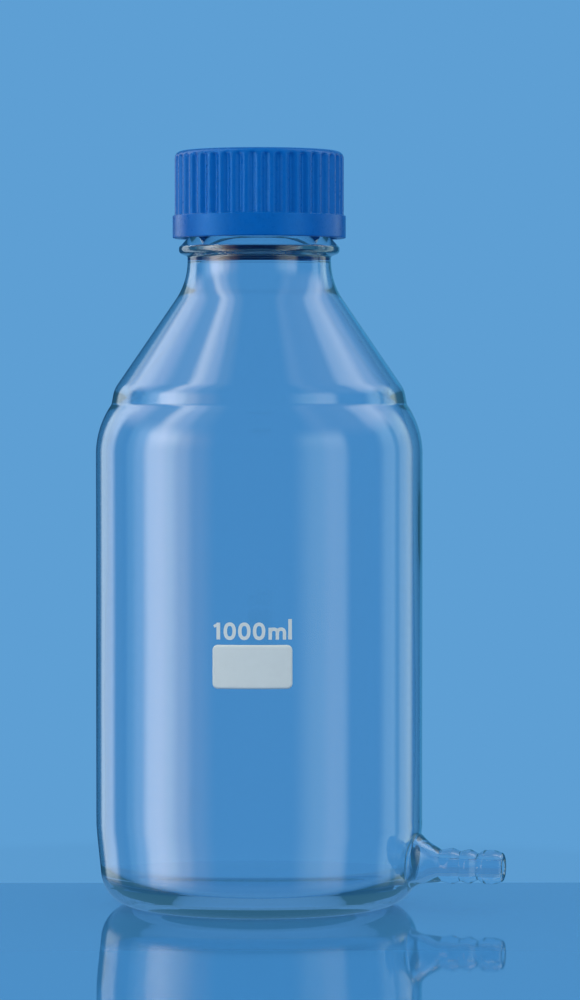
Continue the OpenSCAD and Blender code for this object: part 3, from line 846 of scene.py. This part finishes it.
def volume_figures(base_z):
    """The volume, 1000ml, printed over the panel."""
    points, faces = [], []
    digit, letter = 5.0, 3.55
    strokes = [
        ([(-10.2, 0), (-10.2, digit * 0.5), (-10.2, digit)], 0.56, False),
        ([(-11.55, digit - 1.15), (-10.9, digit - 0.78), (-10.1, digit - 0.42)], 0.42, False),
        ([(11.3, 0), (11.3, 3.0), (11.3, 6.1)], 0.55, False),
        ([(5.35, 0), (5.35, 1.9), (5.35, letter)], 0.52, False),
        (arch_stroke(5.4, 7.47, 0, 2.15, letter - 0.42), 0.5, False),
        (arch_stroke(7.52, 9.6, 0, 2.15, letter - 0.42), 0.5, False)]
    strokes += [(ring_stroke(u, digit / 2, 1.34, 2.1), 0.52, True) for u in (-6.73, -2.36, 2.04)]
    for line, half, closed in strokes:
        stroke_mesh(points, faces, line if closed else fill_in(line, 0.6), half, closed, base_z)
    made = new_object("volume_figures", points, faces, "bottle", "white_enamel", enamel)
    for face in made.data.polygons:
        face.use_smooth = False


volume_figures(FIGURES_Z)

# ---- studio --------------------------------------------------------------------------------


def plane(name, corners, material):
    mesh = bpy.data.meshes.new(name)
    mesh.from_pydata(corners, [], [[0, 1, 2, 3]])
    made = bpy.data.objects.new(name, mesh)
    bpy.context.scene.collection.objects.link(made)
    mesh.materials.append(material)
    return made


def sphere(name, radius, material):
    """A round shell about the stage that only reflections see, so that it hides nothing."""
    bm = bmesh.new()
    bmesh.ops.create_uvsphere(bm, u_segments=64, v_segments=32, radius=radius)
    mesh = bpy.data.meshes.new(name)
    bm.to_mesh(mesh)
    bm.free()
    for face in mesh.polygons:
        face.use_smooth = True
    made = bpy.data.objects.new(name, mesh)
    bpy.context.scene.collection.objects.link(made)
    made.visible_camera = made.visible_diffuse = made.visible_transmission = False
    made.visible_volume_scatter = made.visible_shadow = False
    mesh.materials.append(material)
    return made


def receive(made, receiver, state):
    """Have a glowing shell light one thing alone, or everything but that thing."""
    group = bpy.data.collections.new(made.name + "_receivers")
    group.objects.link(receiver)
    group.collection_objects[0].light_linking.link_state = state
    made.light_linking.receiver_collection = group


BACK = (0.1119, 0.3467, 0.6584)     # linear value of the backdrop's blue
VIEW = 15.0                         # bearing of the camera, from -Y towards +X
TABLE_EDGE = 0.0535                 # how far behind the bottle's axis the glossy table ends
EDGE_BLUR = 0.0004
MIRROR_NEAR, MIRROR_FAR = 0.055, 0.10       # where the table fades out for mirrored rays
TABLE, TABLE_ROUGH = (0.051, 0.264, 0.586), 0.035
TABLE_LIT, LIT_SHARE = (0.13, 0.33, 0.60), 0.8
PAPER_NEAR, PAPER_FAR, PAPER_LEAST = 0.08, 0.2, 0.85    # how evenly the paper glows, near and far
WORLD_LIGHT, LAMP_AIM_Z = 0.56, 0.11
TENT_R, GLOW_R = 0.7, 0.6998        # the even glow lies just inside the tent
TENT_LIGHT, TENT_LIFT = 8.0, 2.6    # the tent's light low down, and what is added high up,
LIFT_LOW, LIFT_HIGH = 0.18, 0.36    # over these heights
BLEND_LOW, BLEND_HIGH = 0.32, 0.48  # where the low panels give way to the high ones
TENT_TOP, TENT_TOP_END = (0.03, 0.05, 0.07), (0.699, 0.685)


def world():
    """The backdrop's blue where a ray sees it, and an even soft light on everything else."""
    made = bpy.data.worlds.new("studio")
    bpy.context.scene.world = made
    made.use_nodes = True
    nodes, links = made.node_tree.nodes, made.node_tree.links
    nodes.clear()
    out = nodes.new("ShaderNodeOutputWorld")
    seen = nodes.new("ShaderNodeBackground")
    seen.inputs["Color"].default_value = (*BACK, 1)
    light = nodes.new("ShaderNodeBackground")
    light.inputs["Color"].default_value = (0.86, 0.92, 1.0, 1)
    light.inputs["Strength"].default_value = WORLD_LIGHT
    both = mixed(nodes, links, seen_straight(nodes, links), light.outputs[0], seen.outputs[0])
    links.new(both, out.inputs["Surface"])


def floor_material():
    """A glossy table up to an edge behind the bottle, and the backdrop's paper beyond it."""
    material, nodes, links, table = new_material("floor")
    table.inputs["Base Color"].default_value = (*TABLE, 1)
    table.inputs["Roughness"].default_value = TABLE_ROUGH
    table.inputs["IOR"].default_value = 1.5
    place = nodes.new("ShaderNodeNewGeometry").outputs["Position"]
    apart = nodes.new("ShaderNodeSeparateXYZ")
    links.new(place, apart.inputs[0])
    a = math.radians(VIEW)
    across = maths(nodes, links, "MULTIPLY", apart.outputs[0], -math.sin(a))
    behind = maths(nodes, links, "MULTIPLY_ADD", apart.outputs[1], math.cos(a), across)
    far = nodes.new("ShaderNodeVectorMath")
    far.operation = "LENGTH"
    links.new(place, far.inputs[0])
    path = nodes.new("ShaderNodeLightPath")
    through = path.outputs["Is Transmission Ray"]
    # through the glass and mirrored in it, the table shows lighter, by light of its own
    lit = emission(nodes, TABLE_LIT)
    indirect = maths(nodes, links, "MAXIMUM", through, path.outputs["Is Glossy Ray"])
    share = maths(nodes, links, "MULTIPLY", indirect, LIT_SHARE)
    table_seen = mixed(nodes, links, share, table.outputs[0], lit.outputs[0])
    paper = nodes.new("ShaderNodeBsdfDiffuse")
    paper.inputs["Color"].default_value = (*BACK, 1)
    bright = window(nodes, links, far.outputs["Value"], PAPER_NEAR, PAPER_FAR)
    bright = maths(nodes, links, "MAXIMUM", bright, PAPER_LEAST)
    bright = maths(nodes, links, "MULTIPLY", bright, seen_straight(nodes, links))
    back = mixed(nodes, links, bright, paper.outputs[0], emission(nodes, BACK).outputs[0])
    edge = window(nodes, links, behind, TABLE_EDGE - EDGE_BLUR, TABLE_EDGE + EDGE_BLUR)
    solid = mixed(nodes, links, edge, table_seen, back)
    # reflections look past the far floor, into the lower half of the tent
    mirrored = maths(nodes, links, "SUBTRACT", path.outputs["Is Glossy Ray"], through)
    beyond = window(nodes, links, far.outputs["Value"], MIRROR_NEAR, MIRROR_FAR)
    gone = maths(nodes, links, "MULTIPLY", mirrored, beyond)
    clear = nodes.new("ShaderNodeBsdfTransparent")
    links.new(mixed(nodes, links, gone, solid, clear.outputs[0]), nodes["Material Output"].inputs["Surface"])
    return material


def plain_glow():
    """The even blue that the table mirrors, with nothing of it in the way of the tent behind."""
    material, nodes, links, shader = new_material("plain_glow")
    nodes.remove(shader)
    both = nodes.new("ShaderNodeAddShader")
    clear = nodes.new("ShaderNodeBsdfTransparent")
    links.new(emission(nodes, SKY, TENT_LIGHT).outputs[0], both.inputs[0])
    links.new(clear.outputs[0], both.inputs[1])
    links.new(both.outputs[0], nodes["Material Output"].inputs["Surface"])
    return material


def tent_material():
    """What the glass and plastic mirror: a round tent with soft-edged bright panels in it."""
    material, nodes, links, shader = new_material("tent")
    nodes.remove(shader)
    apart = nodes.new("ShaderNodeSeparateXYZ")
    links.new(nodes.new("ShaderNodeNewGeometry").outputs["Position"], apart.inputs[0])
    front = maths(nodes, links, "MULTIPLY", apart.outputs[1], -1.0)
    bearing = maths(nodes, links, "ARCTAN2", apart.outputs[0], front)
    turned = maths(nodes, links, "SUBTRACT", bearing, math.radians(VIEW))
    share = maths(nodes, links, "FRACT", maths(nodes, links, "MULTIPLY_ADD", turned, 1 / TAU, 1.5))

    def ramp(stops):
        node = nodes.new("ShaderNodeValToRGB")
        node.color_ramp.interpolation = "EASE"
        first, last = node.color_ramp.elements
        first.position, first.color = (stops[0][0] + 180) / 360, (*stops[0][1], 1)
        last.position, last.color = (stops[-1][0] + 180) / 360, (*stops[-1][1], 1)
        for degrees, colour in stops[1:-1]:
            node.color_ramp.elements.new((degrees + 180) / 360).color = (*colour, 1)
        links.new(share, node.inputs[0])
        return node.outputs[0]

    def blend(factor, first, second):
        node = nodes.new("ShaderNodeMix")
        node.data_type = "RGBA"
        links.new(factor, node.inputs[0])
        for socket, value in ((node.inputs[6], first), (node.inputs[7], second)):
            if isinstance(value, bpy.types.NodeSocket):
                links.new(value, socket)
            else:
                socket.default_value = (*value, 1)
        return node.outputs[2]

    height = apart.outputs[2]
    sides = blend(window(nodes, links, height, BLEND_LOW, BLEND_HIGH), ramp(TENT), ramp(TENT_HIGH))
    glow = nodes.new("ShaderNodeEmission")
    lift = window(nodes, links, height, LIFT_LOW, LIFT_HIGH)
    links.new(maths(nodes, links, "MULTIPLY_ADD", lift, TENT_LIFT, TENT_LIGHT), glow.inputs["Strength"])
    below_top = window(nodes, links, height, *TENT_TOP_END)
    links.new(blend(below_top, TENT_TOP, sides), glow.inputs["Color"])
    links.new(glow.outputs[0], nodes["Material Output"].inputs["Surface"])
    return material


# Bearings in degrees from the camera's, with the light there as shares of the tent's strength:
# low down, and high up.
SKY, EDGE, DIM = (0.014, 0.0435, 0.0825), (0.0015, 0.006, 0.014), (0.006, 0.0125, 0.0225)
TENT = [
    (-180, SKY), (-171, SKY), (-166, EDGE), (-148, EDGE), (-140, (0.17, 0.19, 0.20)),
    (-124, (0.24, 0.26, 0.27)), (-116, (0.02, 0.03, 0.04)), (-106, DIM), (-100, (0.06, 0.10, 0.12)),
    (-89, (0.22, 0.28, 0.32)), (-79, (0.80, 0.78, 0.74)), (-71, (0.92, 0.86, 0.79)),
    (-64, (0.76, 0.71, 0.60)), (-54, (0.44, 0.37, 0.27)), (-43, (0.14, 0.10, 0.06)), (-28, DIM), (20, DIM),
    (40, (0.20, 0.24, 0.21)), (50, (0.30, 0.32, 0.29)), (57, (0.28, 0.30, 0.27)), (66, DIM), (88, DIM),
    (99, (0.13, 0.18, 0.18)), (105, (0.13, 0.18, 0.18)), (110, (0.03, 0.05, 0.04)),
    (116, (0.13, 0.16, 0.14)), (127, (0.17, 0.20, 0.17)), (136, EDGE), (150, EDGE),
    (157, (0.006, 0.035, 0.065)), (172, SKY)]
TENT_HIGH = [
    (-180, SKY), (-170, SKY), (-164, EDGE), (-148, EDGE), (-138, (0.06, 0.07, 0.08)),
    (-130, (0.28, 0.28, 0.28)), (-120, (0.30, 0.29, 0.28)), (-110, (0.22, 0.21, 0.21)),
    (-94, (0.08, 0.09, 0.09)), (-84, (0.10, 0.11, 0.11)), (-74, (0.60, 0.55, 0.47)),
    (-60, (0.30, 0.28, 0.26)), (-48, (0.08, 0.08, 0.07)), (-30, DIM), (30, DIM),
    (46, (0.08, 0.08, 0.08)), (60, (0.05, 0.05, 0.05)), (82, (0.06, 0.06, 0.06)),
    (93, (0.26, 0.26, 0.24)), (107, (0.34, 0.32, 0.29)), (120, (0.13, 0.13, 0.13)),
    (132, (0.03, 0.04, 0.05)), (150, EDGE), (166, SKY), (180, SKY)]

world()
FLOOR = 6.0
floor = plane("floor", [(-FLOOR, -FLOOR, 0), (FLOOR, -FLOOR, 0), (FLOOR, FLOOR, 0), (-FLOOR, FLOOR, 0)],
              floor_material())
receive(sphere("tent", TENT_R, tent_material()), floor, "EXCLUDE")
receive(sphere("plain_glow", GLOW_R, plain_glow()), floor, "INCLUDE")


def softbox(name, azimuth, distance, height, width, tall, watts):
    """An area lamp that faces the bottle, at a bearing in degrees from the camera's. Reflections see
    the tent instead of it."""
    a = math.radians(VIEW + azimuth)
    lamp = bpy.data.lights.new(name, "AREA")
    lamp.shape = "RECTANGLE"
    lamp.size, lamp.size_y = width, tall
    lamp.energy = watts
    made = bpy.data.objects.new(name, lamp)
    place = Vector((math.sin(a) * distance, -math.cos(a) * distance, height))
    made.location = place
    made.rotation_euler = (Vector((0, 0, LAMP_AIM_Z)) - place).to_track_quat("-Z", "Y").to_euler()
    made.visible_camera = made.visible_glossy = made.visible_transmission = False
    bpy.context.scene.collection.objects.link(made)


softbox("key_left", -60, 0.9, 0.35, 0.55, 0.7, 2.4)
softbox("fill_right", 50, 1.2, 0.3, 0.7, 0.7, 2.4)
softbox("top", 10, 0.9, 1.3, 0.6, 0.6, 4.5)

# ---- camera --------------------------------------------------------------------------------

DISTANCE, EYE_Z, AIM_Z, AIM_RIGHT, LENS = 1293.0, 160.5, 125.0, 9.48, 150.7
camera_data = bpy.data.cameras.new("camera")
camera_data.lens = LENS
camera_data.sensor_width = 36.0
camera_data.clip_start, camera_data.clip_end = 0.05, 20.0
camera = bpy.data.objects.new("camera", camera_data)
bpy.context.scene.collection.objects.link(camera)
va = math.radians(VIEW)
eye = Vector((math.sin(va) * DISTANCE, -math.cos(va) * DISTANCE, EYE_Z)) * MM
aim = Vector((math.cos(va) * AIM_RIGHT, math.sin(va) * AIM_RIGHT, AIM_Z)) * MM
camera.location = eye
camera.rotation_euler = (aim - eye).to_track_quat("-Z", "Y").to_euler()
bpy.context.scene.camera = camera
bpy.context.scene.view_settings.view_transform = "Standard"
